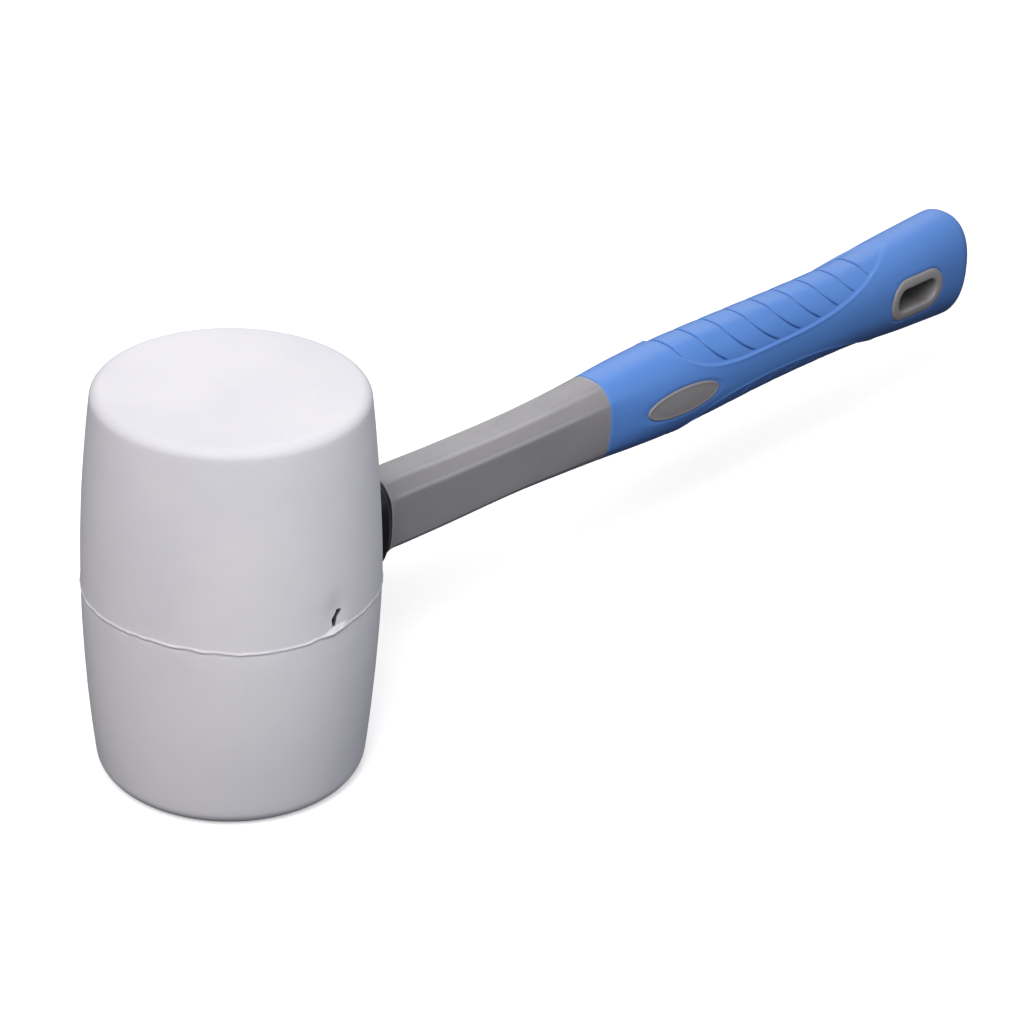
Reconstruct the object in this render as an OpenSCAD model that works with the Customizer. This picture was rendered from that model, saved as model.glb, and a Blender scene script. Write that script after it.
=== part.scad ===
// Rubber mallet with a barrel-shaped head and a moulded handle.
// The head stands on its lower striking face. The origin is the centre of that face,
// +Z runs up the head's axis, and +X runs along the handle towards its butt.
// Every handle module is drawn with the handle's axis on X, then lifted by on_axis().

/* [Head] */
// Diameter of the head round its waist, where it is widest
head_d = 85; // [80:1:100]
// Diameter at each striking face, measured as if its edge were sharp
face_d = 77; // [70:0.5:79]
// Height of the head from face to face
head_h = 120; // [110:1:140]
// Radius of the rounded edge of each striking face
edge_r = 5.5; // [3:0.5:8]

/* [Eye of the head] */
// Width of the handle's tenon across the head
tenon_w = 16; // [15:0.5:18]
// Height of the handle's tenon
tenon_h = 22; // [20:0.5:24]
// Thickness of the cured adhesive round the tenon
bond = 0.6; // [0.4:0.1:1]
// Distance that the eye runs past the head's axis, to its blind end
eye_past_axis = 28; // [22:1:32]
// Length of the collar's sleeve inside the head
sleeve_l = 14.5; // [8:0.5:20]
// Wall of the collar's sleeve
sleeve_wall = 2.5; // [2:0.1:3.5]
// Diameter of the steel pin that crosses the eye
pin_d = 4; // [3:0.5:5]
// Length of the steel pin
pin_l = 56; // [40:1:64]

/* [Handle] */
// Distance from the head's axis to the end of the butt
reach = 336; // [332:1:350]
// Distance from the head's axis to the shoulder of the shaft, where the collar ends
shoulder_x = 54; // [50:0.5:58]
// Distance from the head's axis to the edge of the soft grip
grip_x = 148.5; // [140:0.5:156]
// Thickness of the soft grip over its hard core
grip_wall = 2.8; // [2:0.1:3.5]
// Diameter of the fibreglass rod
rod_d = 11.5; // [10:0.5:12]
// Distance from the head's axis to the blind end of the rod
rod_end_x = 284; // [240:1:286]

/* [Windows and hang slot] */
// Length of the oval window in each side of the grip
pad_l = 32.8; // [24:0.2:34]
// Height of the oval window
pad_h = 9.8; // [8:0.2:13]
// Distance from the head's axis to the middle of the oval window
pad_x = 180.5; // [172:0.5:190]
// Length of the hang slot along the handle
slot_l = 21; // [16:0.2:22]
// Height of the hang slot
slot_h = 8.4; // [7:0.2:11]
// Wall of the ring that lines the hang slot
slot_wall = 3.6; // [3:0.1:4]
// Distance from the head's axis to the middle of the hang slot
slot_x = 301.6; // [301:0.2:304]
// Height of the middle of the windows and the slot, measured from the rod's axis
window_z = -0.6; // [-1:0.1:1]
// Height that the hard windows stand above the soft grip
proud = 0.25; // [0.1:0.05:0.5]

/* [Hidden] */
$fn = 96;
past = 1; // how far a cutter runs past the surface that it opens
waist_r = head_d / 2;
face_r = face_d / 2;
half_h = head_h / 2;
eye_w = tenon_w + 2 * bond;
eye_h = tenon_h + 2 * bond;
sleeve_w = tenon_w + 2 * sleeve_wall;
sleeve_h = tenon_h + 2 * sleeve_wall;
sleeve_x = waist_r - sleeve_l;
tenon_x = 1 - eye_past_axis; // the tenon stops a little short of the blind end
key_depth = bond; // grooves round the tenon that the adhesive fills
key_l = 4;
key_pitch = 9;
keys = 5;
flare_l = 5; // the shaft widens over this length towards its shoulder
flare_r = 9; // radius of the hollow curve of that flare
lip = 3; // the collar stands this far out from the shaft where it meets the head
dome_l = 10; // length of the butt's rounded end
dome_n = 2.3; // how square that rounding is
dome_x = reach - dome_l;
sides = 40; // points round each section of the handle

// The handle's sections: distance from the head's axis, half width, half height,
// how far the section is eight-sided (1) or oval (0), and the height of its middle
stations = [
    [52, 8.6, 12.1, 0.1, -0.2],
    [60, 8.6, 12, 0.85, -0.22],
    [66, 8.6, 11.95, 1, -0.3],
    [80, 8.6, 11.75, 1, -0.6],
    [112, 8.6, 11.6, 1, -0.75],
    [132, 9.1, 12.5, 0.8, -0.85],
    [149, 10.2, 13.75, 0.35, -0.7],
    [163, 11.8, 14.65, 0.1, -0.65],
    [182, 12.8, 15.35, 0, -0.6],
    [204, 12.9, 15.1, 0, -0.35],
    [222, 12.75, 14.65, 0, -0.05],
    [244, 12.65, 14.4, 0, -0.05],
    [273, 12.7, 14.8, 0, -0.2],
    [300, 12.9, 17.3, 0, -0.1],
    [dome_x, 12.6, 19.3, 0, 0.1],
];
cut = 0.33; // the eight-sided section's corners are cut by this share of its height
oval_n = 2.35; // how square the oval section is

// Smooth curve through one column of the stations
function slope(k, c) = let(last = len(stations) - 1, a = max(k - 1, 0), b = min(k + 1, last))
    (stations[b][c] - stations[a][c]) / (stations[b][0] - stations[a][0]);
function span(x) = let(found = [for (k = [0:len(stations) - 2]) if (stations[k][0] <= x) k])
    len(found) == 0 ? 0 : found[len(found) - 1];
function along(x, c) = let(
        k = span(x),
        width = stations[k + 1][0] - stations[k][0],
        t = min(max((x - stations[k][0]) / width, 0), 1),
        easing = t * t * (3 - 2 * t),
        lead = t * (1 - t) * (1 - t),
        tail = t * t * (t - 1)
    ) stations[k][c] * (1 - easing) + stations[k + 1][c] * easing
      + width * (lead * slope(k, c) + tail * slope(k + 1, c));

// How far the surface stands out from the plain shaft in the flare by the head
function flare(x) = let(run = min(max(shoulder_x + flare_l - x, 0), flare_r))
    min(flare_r - sqrt(flare_r * flare_r - run * run), lip);

// Distance from the section's middle to its edge at the angle t
function oval_r(a, b, t) =
    1 / pow(pow(abs(cos(t)) / a, oval_n) + pow(abs(sin(t)) / b, oval_n), 1 / oval_n);
function facet_r(a, b, t) =
    1 / max(abs(cos(t)) / a, abs(sin(t)) / b,
            (abs(cos(t)) + abs(sin(t))) / (a + b * (1 - cut)));
function ring(x, grow, size) = let(
        a = along(x, 1) + flare(x) + grow,
        b = along(x, 2) + flare(x) + grow,
        facets = min(max(along(x, 3), 0), 1)
    ) [for (i = [0:sides - 1]) let(
        t = 360 * (i + 0.5) / sides,
        r = size * (facet_r(a, b, t) * facets + oval_r(a, b, t) * (1 - facets))
    ) [x, r * cos(t), r * sin(t) + along(x, 4)]];
function rings(from, to, count, grow) =
    [for (i = [0:count]) ring(from + (to - from) * i / count, grow, 1)];
// Rings of a rounded end that starts at x and is about length long
function dome(x, length, grow) = [for (turn = [20:14:76]) let(
        run = pow(sin(turn), 2 / dome_n),
        size = pow(cos(turn), 2 / dome_n)
    ) [for (p = ring(x, grow, size)) [x + length * run, p[1], p[2]]]];

// Closed solid through a list of rings, with each end closed by a fan about its middle
module loft(rings) {
    count = len(rings);
    total = count * sides;
    middles = [for (end = [0, count - 1]) [rings[end][0][0], 0, 0]];
    strips = [for (k = [0:count - 2]) for (i = [0:sides - 1]) let(
            a = k * sides + i,
            b = k * sides + (i + 1) % sides
        ) each [[a, a + sides, b + sides], [a, b + sides, b]]];
    fans = [for (i = [0:sides - 1]) let(
            j = (i + 1) % sides,
            far = total - sides
        ) each [[total, i, j], [total + 1, far + j, far + i]]];
    polyhedron(
        points = concat([for (ring = rings) each ring], middles),
        faces = concat(strips, fans));
}

// Bar along X from one distance to another, with an oblong section standing on edge
module oblong(w, h, from, to) {
    translate([from, 0, 0]) rotate([90, 0, 90]) linear_extrude(to - from) {
        square([w, h - w], center = true);
        for (side = [-1, 1]) translate([0, side * (h - w) / 2]) circle(d = w);
    }
}

// Bar across the handle with an oblong section lying along X
module cross_oblong(l, h, x, depth) {
    translate([x, depth / 2, window_z]) rotate([90, 0, 0]) linear_extrude(depth) {
        square([l - h, h], center = true);
        for (side = [-1, 1]) translate([side * (l - h) / 2, 0]) circle(d = h);
    }
}

// Bar across the handle with an oval section lying along X
module cross_oval(l, h, x, depth) {
    points = [for (t = [5:10:355]) [l / 2 * cos(t), h / 2 * sin(t)]];
    translate([x, depth / 2, window_z]) rotate([90, 0, 0]) linear_extrude(depth) polygon(points);
}

module on_axis() {
    translate([0, 0, half_h]) children();
}

// Radius of the head at a distance from its waist
function barrel_r(z) = waist_r - (waist_r - face_r) * pow(z / half_h, 2);

// Barrel with two rounded edges, about the Z axis
module barrel() {
    lean = atan(2 * (waist_r - face_r) / half_h);
    edge_z = half_h - edge_r * (1 - sin(lean));
    edge_x = barrel_r(edge_z) - edge_r * cos(lean);
    lower_edge = [for (k = [0:8]) let(t = -90 + (90 - lean) * k / 8)
        [edge_x + edge_r * cos(t), edge_r * (1 + sin(t))]];
    side = [for (k = [1:19]) let(z = -edge_z + 2 * edge_z * k / 20) [barrel_r(z), half_h + z]];
    upper_edge = [for (k = [8:-1:0]) [lower_edge[k][0], head_h - lower_edge[k][1]]];
    rotate_extrude($fn = 180)
        polygon(concat([[0, 0]], lower_edge, side, upper_edge, [[0, head_h]]));
}

module pin_bar(length) {
    rotate([90, 0, 0]) cylinder(d = pin_d, h = length, center = true);
}

// Tongue of the handle that fills the eye, with grooves that key the adhesive
module tenon() {
    oblong(tenon_w - 2 * key_depth, tenon_h - 2 * key_depth, tenon_x, shoulder_x + past);
    land = key_pitch - key_l;
    start = tenon_x + land + keys * key_pitch;
    oblong(tenon_w, tenon_h, start - key_pitch + key_l, shoulder_x + past);
    for (k = [0:keys - 1]) {
        from = tenon_x + k * key_pitch;
        oblong(tenon_w, tenon_h, from, from + land);
    }
}

// Surface of the hard core under the soft grip, from the grip's edge to inside the butt
function core_rings() = concat(
    rings(grip_x, dome_x, 16, -grip_wall),
    dome(dome_x, dome_l / 3, -grip_wall));

// Outer surface of the grip, from its edge to the end of the butt
function grip_rings(grow) = concat(rings(grip_x, dome_x, 26, grow), dome(dome_x, dome_l, grow));

// Everything that shows through the grip: two oval pads and the ring of the hang slot
module windows() {
    cross_oval(pad_l, pad_h, pad_x, 2 * sleeve_w);
    cross_oblong(slot_l + 2 * slot_wall, slot_h + 2 * slot_wall, slot_x, 2 * sleeve_w);
}

// White rubber barrel with the blind eye, wider at its mouth for the collar
module rubber_head() {
    color([0.9, 0.89, 0.91]) difference() {
        barrel();
        on_axis() {
            oblong(eye_w, eye_h, -eye_past_axis, waist_r + past);
            oblong(sleeve_w, sleeve_h, sleeve_x, waist_r + past);
            pin_bar(pin_l);
        }
    }
}

// Black collar: a sleeve in the mouth of the eye and a flared lip on the barrel
module eye_collar() {
    lip_x = waist_r - lip;
    color([0.08, 0.08, 0.09]) difference() {
        union() {
            difference() {
                on_axis() loft(rings(lip_x, shoulder_x, 10, 0));
                barrel();
            }
            on_axis() oblong(sleeve_w, sleeve_h, sleeve_x, waist_r + past);
        }
        on_axis() oblong(tenon_w, tenon_h, sleeve_x - past, shoulder_x + past);
    }
}

// Cured adhesive between the tenon and the eye, with a disc at the blind end
module eye_adhesive() {
    color([0.75, 0.62, 0.35]) on_axis() difference() {
        oblong(eye_w, eye_h, -eye_past_axis, sleeve_x);
        tenon();
        pin_bar(eye_w + past);
    }
}

// Fibreglass rod down the middle of the handle
module core_rod() {
    color([0.85, 0.8, 0.6]) on_axis() difference() {
        translate([tenon_x, 0, 0]) rotate([0, 90, 0]) cylinder(d = rod_d, h = rod_end_x - tenon_x);
        pin_bar(pin_l);
    }
}

// Grey plastic handle: tenon, faceted shaft, core of the grip, pads and slot ring
module handle_jacket() {
    color([0.45, 0.44, 0.45]) on_axis() difference() {
        union() {
            tenon();
            loft(concat(rings(shoulder_x, grip_x, 27, 0), core_rings()));
            intersection() {
                windows();
                loft(grip_rings(proud));
            }
        }
        translate([tenon_x - past, 0, 0]) rotate([0, 90, 0])
            cylinder(d = rod_d, h = rod_end_x - tenon_x + past);
        cross_oblong(slot_l, slot_h, slot_x, 3 * sleeve_w);
        pin_bar(pin_l);
    }
}

// Blue soft grip moulded over the core, open at the windows and closed round the butt
module soft_grip() {
    core = core_rings();
    inside = [for (k = [len(core) - 1:-1:0]) core[k]];
    color([0.25, 0.47, 0.8]) on_axis() difference() {
        loft(concat(inside, grip_rings(0)));
        windows();
    }
}

// Steel pin across the head, the tenon and the rod, buried in the rubber
module cross_pin() {
    color([0.7, 0.7, 0.72]) on_axis() pin_bar(pin_l);
}

rubber_head();
eye_collar();
eye_adhesive();
core_rod();
handle_jacket();
soft_grip();
cross_pin();
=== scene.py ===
import math

import bmesh
import bpy
import numpy as np
from mathutils import Matrix, Vector


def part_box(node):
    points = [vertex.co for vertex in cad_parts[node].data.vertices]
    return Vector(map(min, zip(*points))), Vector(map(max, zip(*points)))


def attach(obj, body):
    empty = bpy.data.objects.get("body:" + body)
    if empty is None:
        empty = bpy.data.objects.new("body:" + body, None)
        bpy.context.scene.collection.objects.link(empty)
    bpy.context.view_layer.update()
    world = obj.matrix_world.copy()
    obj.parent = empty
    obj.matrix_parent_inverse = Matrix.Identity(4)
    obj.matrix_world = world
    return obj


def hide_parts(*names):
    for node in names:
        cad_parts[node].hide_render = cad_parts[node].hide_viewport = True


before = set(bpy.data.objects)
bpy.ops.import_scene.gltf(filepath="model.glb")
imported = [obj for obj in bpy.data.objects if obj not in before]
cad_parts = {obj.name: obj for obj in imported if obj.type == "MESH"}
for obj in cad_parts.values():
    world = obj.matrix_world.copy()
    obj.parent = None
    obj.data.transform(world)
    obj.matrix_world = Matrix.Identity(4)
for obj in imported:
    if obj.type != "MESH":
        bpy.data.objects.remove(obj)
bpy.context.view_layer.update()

# Rubber mallet: white barrel head, black eye collar, grey moulded handle, blue soft grip.
# Shapes are worked out in millimetres, and become metres when a mesh is made.
mm = 0.001
sharpestFold = 32  # degrees between two faces that still shade as one smooth surface
headLow, headHigh = (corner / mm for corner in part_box("rubber_head"))
collarLow, collarHigh = (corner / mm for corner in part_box("eye_collar"))
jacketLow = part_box("handle_jacket")[0] / mm
gripLow, gripHigh = (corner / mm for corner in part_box("soft_grip"))
rodLow, rodHigh = (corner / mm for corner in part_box("core_rod"))
pinLow, pinHigh = (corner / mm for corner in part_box("cross_pin"))
glueLow, glueHigh = (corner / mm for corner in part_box("eye_adhesive"))
axisHeight = (headLow.z + headHigh.z) / 2  # the handle's axis crosses the head at half its height


# --- mesh helpers

def addObject(name, data):
    item = bpy.data.objects.new(name, data)
    bpy.context.scene.collection.objects.link(item)
    return item


def makePiece(name, points, faces):
    mesh = bpy.data.meshes.new(name)
    mesh.from_pydata((np.asarray(points) * mm).tolist(), [], faces)
    solid = bmesh.new()
    solid.from_mesh(mesh)
    if solid.calc_volume(signed=True) < 0:
        bmesh.ops.reverse_faces(solid, faces=solid.faces)
        solid.to_mesh(mesh)
    solid.free()
    return addObject(name, mesh)


def gridFaces(rows, columns, wrap=False):
    k, i = np.meshgrid(np.arange(rows if wrap else rows - 1), np.arange(columns), indexing="ij")
    nextRow = (k + 1) % rows * columns
    nextColumn = (i + 1) % columns
    row = k * columns
    corners = (row + i, row + nextColumn, nextRow + nextColumn, nextRow + i)
    return np.stack(corners, axis=-1).reshape(-1, 4).tolist()


def loftPiece(name, rings, closed=True):
    # rings holds one closed ring of points for each row; open ends get a fan about their middle
    rows, columns = rings.shape[:2]
    points = rings.reshape(-1, 3)
    if not closed:
        return makePiece(name, points, gridFaces(rows, columns, wrap=True))
    faces = gridFaces(rows, columns)
    lastRow = (rows - 1) * columns
    for i in range(columns):
        j = (i + 1) % columns
        faces.append([len(points), j, i])
        faces.append([len(points) + 1, lastRow + i, lastRow + j])
    ends = [rings[0].mean(axis=0), rings[-1].mean(axis=0)]
    return makePiece(name, np.concatenate([points, ends]), faces)


def settle(piece):
    # the modifiers' result becomes the piece's own plain mesh
    bpy.context.view_layer.update()
    shown = piece.evaluated_get(bpy.context.evaluated_depsgraph_get())
    mesh = bpy.data.meshes.new_from_object(shown)
    piece.modifiers.clear()
    piece.data = mesh
    return piece


def combine(piece, other, operation="DIFFERENCE"):
    modifier = piece.modifiers.new("combine", "BOOLEAN")
    modifier.operation = operation
    modifier.solver = "MANIFOLD"
    modifier.object = other
    settle(piece)
    bpy.data.objects.remove(other)


def finishPiece(piece, material, node):
    mesh = piece.data
    mesh.name = piece.name
    mesh.materials.clear()
    mesh.materials.append(material)
    mesh.polygons.foreach_set("material_index", np.zeros(len(mesh.polygons), np.int32))
    mesh.shade_smooth()
    mesh.set_sharp_from_angle(angle=math.radians(sharpestFold))
    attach(piece, "root")
    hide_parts(node)
    mesh.calc_loop_triangles()
    print(f"{piece.name}: {len(mesh.loop_triangles)} triangles")


def pointsAt(x, y, z):
    return np.stack(np.broadcast_arrays(x, y, z), axis=-1)


def smooth(value, low, high):
    t = np.clip((value - low) / (high - low), 0, 1)
    return t * t * (3 - 2 * t)


# --- node helpers: a Wire is a socket that arithmetic can be done on

class Wire:
    def __init__(self, tree, socket):
        self.tree = tree
        self.socket = socket

    def math(self, operation, *others):
        node = self.tree.nodes.new("ShaderNodeMath")
        node.operation = operation
        for place, value in zip(node.inputs, (self, *others)):
            feed(place, value)
        return Wire(self.tree, node.outputs[0])

    def __add__(self, other):
        return self.math("ADD", other)

    def __sub__(self, other):
        return self.math("SUBTRACT", other)

    def __mul__(self, other):
        return self.math("MULTIPLY", other)

    def __truediv__(self, other):
        return self.math("DIVIDE", other)

    def over(self, low, high, start=0.0, end=1.0):
        # smooth step from start to end as the value goes from low to high
        node = self.tree.nodes.new("ShaderNodeMapRange")
        node.interpolation_type = "SMOOTHSTEP"
        for label, value in zip(("Value", "From Min", "From Max", "To Min", "To Max"),
                                (self, low, high, start, end)):
            feed(node.inputs[label], value)
        return Wire(self.tree, node.outputs[0])

    def bell(self, width):
        # 1 at zero, falling away over width on both sides
        scaled = self / width
        return (scaled * scaled * -1.0).math("EXPONENT")


def feed(place, value):
    if isinstance(value, Wire):
        place.id_data.links.new(value.socket, place)
    else:
        place.default_value = value


def splitVector(tree, socket):
    node = tree.nodes.new("ShaderNodeSeparateXYZ")
    tree.links.new(socket, node.inputs[0])
    return [Wire(tree, output) for output in node.outputs]


def joinVector(tree, x, y, z):
    node = tree.nodes.new("ShaderNodeCombineXYZ")
    for place, value in zip(node.inputs, (x, y, z)):
        feed(place, value)
    return Wire(tree, node.outputs[0])


def noise(tree, vector, scale, detail=2.0, rough=0.5, distortion=0.0):
    node = tree.nodes.new("ShaderNodeTexNoise")
    feed(node.inputs["Vector"], vector)
    feed(node.inputs["Scale"], scale)
    feed(node.inputs["Detail"], detail)
    feed(node.inputs["Roughness"], rough)
    feed(node.inputs["Distortion"], distortion)
    return Wire(tree, node.outputs[0])


def nodeGroup(name, kind, inputs, outputs):
    # inputs holds each label with its number, or with a kind of socket that has no number
    group = bpy.data.node_groups.new(name, kind)
    for label, value in inputs.items():
        plain = "NodeSocketInt" if isinstance(value, int) else "NodeSocketFloat"
        named = isinstance(value, str)
        socket = group.interface.new_socket(label, in_out="INPUT",
                                            socket_type=value if named else plain)
        if not named:
            socket.default_value = value
    for label, value in outputs.items():
        group.interface.new_socket(label, in_out="OUTPUT", socket_type=value)
    source = group.nodes.new("NodeGroupInput")
    return group, source, {label: Wire(group, source.outputs[label]) for label in inputs}


def geometryTree(name, sizes):
    shape = {"Geometry": "NodeSocketGeometry"}
    return nodeGroup(name, "GeometryNodeTree",
                     {**shape, **sizes, "Material": "NodeSocketMaterial"}, shape)


def shapeSurface(tree, source, offset, stored):
    # moves the surface by offset, keeps the named masks for the material, and closes the tree
    link = tree.links.new
    current = source.outputs["Geometry"]
    for label, value in stored.items():
        keep = tree.nodes.new("GeometryNodeStoreNamedAttribute")
        keep.inputs["Name"].default_value = label
        link(current, keep.inputs["Geometry"])
        feed(keep.inputs["Value"], value)
        current = keep.outputs["Geometry"]
    move = tree.nodes.new("GeometryNodeSetPosition")
    real = tree.nodes.new("GeometryNodeRealizeInstances")
    paint = tree.nodes.new("GeometryNodeSetMaterial")
    out = tree.nodes.new("NodeGroupOutput")
    link(current, move.inputs["Geometry"])
    feed(move.inputs["Offset"], offset)
    link(move.outputs[0], real.inputs[0])
    link(real.outputs[0], paint.inputs["Geometry"])
    link(source.outputs["Material"], paint.inputs["Material"])
    link(paint.outputs[0], out.inputs[0])


def runTree(piece, tree, sizes, material):
    modifier = piece.modifiers.new(tree.name, "NODES")
    modifier.node_group = tree
    values = dict(sizes, Material=material)
    for item in tree.interface.items_tree:
        if item.in_out == "INPUT" and item.name in values:
            modifier[item.identifier] = values[item.name]
    settle(piece)


def namedValue(tree, label):
    node = tree.nodes.new("GeometryNodeInputNamedAttribute")
    node.data_type = "FLOAT"
    node.inputs["Name"].default_value = label
    return Wire(tree, node.outputs["Attribute"])


def storeValue(piece, label, values):
    attribute = piece.data.attributes.new(label, "FLOAT", "POINT")
    attribute.data.foreach_set("value", np.asarray(values, np.float32).ravel())


# --- shader groups shared by the materials

def shaderGroup(name, inputs, outputs):
    group, _, wires = nodeGroup(name, "ShaderNodeTree", inputs,
                                dict.fromkeys(outputs, "NodeSocketFloat"))
    place = group.nodes.new("ShaderNodeTexCoord")
    sink = group.nodes.new("NodeGroupOutput")
    return group, wires, sink, Wire(group, place.outputs["Object"])


def makeGrainGroup():
    # moulded skin: Tone varies about 1, Height is the fine texture, Gloss shifts the roughness
    group, given, sink, place = shaderGroup(
        "mouldedGrain",
        {"Patch Scale": 40.0, "Patch Strength": 0.05, "Grain Scale": 1800.0, "Pit Strength": 0.3},
        ["Tone", "Height", "Gloss"])
    patches = noise(group, place, given["Patch Scale"], detail=4.0, rough=0.55)
    grain = noise(group, place, given["Grain Scale"], detail=3.0, rough=0.6)
    pits = noise(group, place, given["Grain Scale"] * 0.31, detail=1.0).over(0.62, 0.8)
    feed(sink.inputs["Tone"], (patches - 0.5) * given["Patch Strength"] * 2.0 + 1.0)
    feed(sink.inputs["Height"], grain - pits * given["Pit Strength"])
    feed(sink.inputs["Gloss"], (patches - 0.5) * 0.5 + (grain - 0.5) * 0.2)
    return group


def makeMarksGroup():
    # handling marks: Smudge is broad and soft, Scuff is short level rubs
    group, given, sink, place = shaderGroup(
        "handlingMarks",
        {"Smudge Scale": 60.0, "Scuff Scale": 140.0, "Amount": 0.5}, ["Smudge", "Scuff"])
    broad = noise(group, place, given["Smudge Scale"], detail=5.0, rough=0.65, distortion=0.6)
    x, y, z = splitVector(group, place.socket)
    stretched = joinVector(group, x, y, z * 7.0)
    thin = noise(group, stretched, given["Scuff Scale"], detail=3.0, rough=0.7, distortion=1.5)
    feed(sink.inputs["Smudge"], broad.over(0.52, 0.78) * given["Amount"])
    feed(sink.inputs["Scuff"], thin.over(0.66, 0.8) * given["Amount"])
    return group


def makeDustGroup():
    # settled dust: more on faces that look up
    group, given, sink, place = shaderGroup(
        "settledDust", {"Amount": 0.3, "Speck Scale": 700.0}, ["Dust"])
    geometry = group.nodes.new("ShaderNodeNewGeometry")
    up = splitVector(group, geometry.outputs["Normal"])[2].over(0.1, 1.0)
    specks = noise(group, place, given["Speck Scale"], detail=4.0, rough=0.7).over(0.5, 0.75)
    drift = noise(group, place, given["Speck Scale"] * 0.06, detail=2.0).over(0.35, 0.7)
    feed(sink.inputs["Dust"], up * specks * drift * given["Amount"])
    return group


def makeEdgeGroup():
    # rubbed edges: Wear is high on convex edges, broken up by noise
    group, given, sink, place = shaderGroup(
        "rubbedEdges", {"Start": 0.53, "End": 0.62, "Amount": 0.5}, ["Wear"])
    geometry = group.nodes.new("ShaderNodeNewGeometry")
    convex = Wire(group, geometry.outputs["Pointiness"]).over(given["Start"], given["End"])
    broken = noise(group, place, 260.0, detail=4.0, rough=0.7).over(0.35, 0.65)
    feed(sink.inputs["Wear"], convex * broken * given["Amount"])
    return group


sharedEffects = {"grain": makeGrainGroup(), "marks": makeMarksGroup(),
                 "dust": makeDustGroup(), "edges": makeEdgeGroup()}


def blendColour(tree, share, first, second, mode="MIX"):
    node = tree.nodes.new("ShaderNodeMix")
    node.data_type = "RGBA"
    node.blend_type = mode
    feed(node.inputs["Factor"], share)
    for place, value in zip(node.inputs[6:8], (first, second)):
        feed(place, value if isinstance(value, Wire) else (*value, 1.0))
    return Wire(tree, node.outputs[2])


def weighed(masks, weights, start=0.0):
    total = start
    for label, weight in weights.items():
        total = masks[label] * weight + total
    return total


# --- materials

# plain: values set on the shader
# grain: patch scale, patch strength, grain scale, pit strength
# marks: smudge scale, scuff scale; dust: amount, speck scale; edges: start, end, amount
# stored: masks kept on the mesh; mottle: a mask and the second base colour that it brings in
# coats: mask, share and colour, from the lowest coat up
# rough: roughness and what shifts it; relief: what makes up the bump
# bump: distance in metres, strength
finishes = {}
finishes["whiteRubber"] = {
    "plain": {"Specular IOR Level": 0.24, "IOR": 1.5},
    "grain": (33.0, 0.035, 1500.0, 0.25),
    "marks": (48.0, 120.0),
    "dust": (0.18, 520.0),
    "stored": ("flash", "slit"),
    "base": (0.735, 0.722, 0.75), "mottle": ("cloud", (0.665, 0.655, 0.70)),
    "coats": [("Smudge", 0.14, (0.50, 0.48, 0.50)), ("Scuff", 0.12, (0.50, 0.48, 0.50)),
              ("Dust", 1.0, (0.55, 0.53, 0.52)),
              ("flash", 1.0, (0.86, 0.85, 0.89)),  # fresh rubber on the line and the nub
              # painted shade: the slit's walls are coloured near black
              ("slit", 1.0, (0.06, 0.055, 0.06))],
    "rough": (0.56, {"Gloss": 0.25, "Smudge": -0.12}),
    "relief": {"Height": 1.0, "Scuff": 0.6}, "bump": (0.00006, 0.7),
}
finishes["blackRubber"] = {
    "plain": {"Specular IOR Level": 0.22, "IOR": 1.5},
    "grain": (90.0, 0.3, 1700.0, 0.2),
    "dust": (0.10, 900.0),
    "edges": (0.54, 0.66, 0.4),
    "base": (0.011, 0.011, 0.013),
    "coats": [("Wear", 1.0, (0.05, 0.05, 0.052)), ("Dust", 1.0, (0.25, 0.25, 0.26))],
    "rough": (0.34, {"Gloss": 0.35, "Dust": 1.0}),
    "relief": {"Height": 1.0}, "bump": (0.00004, 0.5),
}
finishes["greyPlastic"] = {
    "plain": {"Specular IOR Level": 0.5, "IOR": 1.48},
    "grain": (60.0, 0.06, 2300.0, 0.35),
    "marks": (75.0, 190.0),
    "dust": (0.22, 800.0),
    "edges": (0.515, 0.58, 0.35),
    "stored": ("wearAndHighlight", "hollow"),
    "base": (0.280, 0.270, 0.281),
    # painted highlight along the shaft's corners and over the slot ring, with wear near the
    # shoulder and the grip's edge
    # painted shade: the slot's inside is coloured darker
    "coats": [("allWearAndHighlight", 1.0, (0.42, 0.41, 0.415)), ("hollow", 0.75, (0.12, 0.115, 0.115)),
              ("Smudge", 0.16, (0.12, 0.115, 0.115)), ("Scuff", 0.18, (0.42, 0.41, 0.415)),
              ("Dust", 1.0, (0.42, 0.41, 0.41))],
    "rough": (0.44, {"Gloss": 0.3, "Smudge": 0.12}),
    "relief": {"Height": 1.0}, "bump": (0.00005, 0.6),
}
finishes["blueGrip"] = {
    "plain": {"Specular IOR Level": 0.42, "IOR": 1.5},
    "grain": (55.0, 0.05, 2600.0, 0.3),
    "marks": (70.0, 160.0),
    "dust": (0.12, 900.0),
    "edges": (0.52, 0.6, 0.35),
    "stored": ("groove", "rimHighlight"),
    "base": (0.098, 0.258, 0.70),
    # painted shade: the grooves are coloured darker blue
    # painted shade: the underside is coloured darker blue
    "coats": [("under", 0.75, (0.02, 0.075, 0.29)), ("groove", 0.9, (0.02, 0.075, 0.29)),
              # painted highlight: the crescent's border is coloured lighter blue
              ("rimHighlight", 0.6, (0.13, 0.305, 0.78)), ("Wear", 1.0, (0.13, 0.305, 0.78)),
              ("Smudge", 0.10, (0.02, 0.075, 0.29)), ("Dust", 1.0, (0.36, 0.42, 0.55))],
    "rough": (0.47, {"Gloss": 0.3}),
    "relief": {"Height": 1.0, "Scuff": 0.3}, "bump": (0.00006, 0.7),
}
finishes["curedAdhesive"] = {
    "plain": {"IOR": 1.52, "Coat Roughness": 0.15},
    "grain": (120.0, 0.3, 600.0, 0.9),
    "base": (0.52, 0.36, 0.13),
    "coats": [("bubbles", 0.5, (0.72, 0.6, 0.36))],
    "rough": (0.28, {"Gloss": 0.3}),
    "relief": {"Height": 1.0, "bubbles": 1.0}, "bump": (0.00015, 1.0),
}
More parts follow.
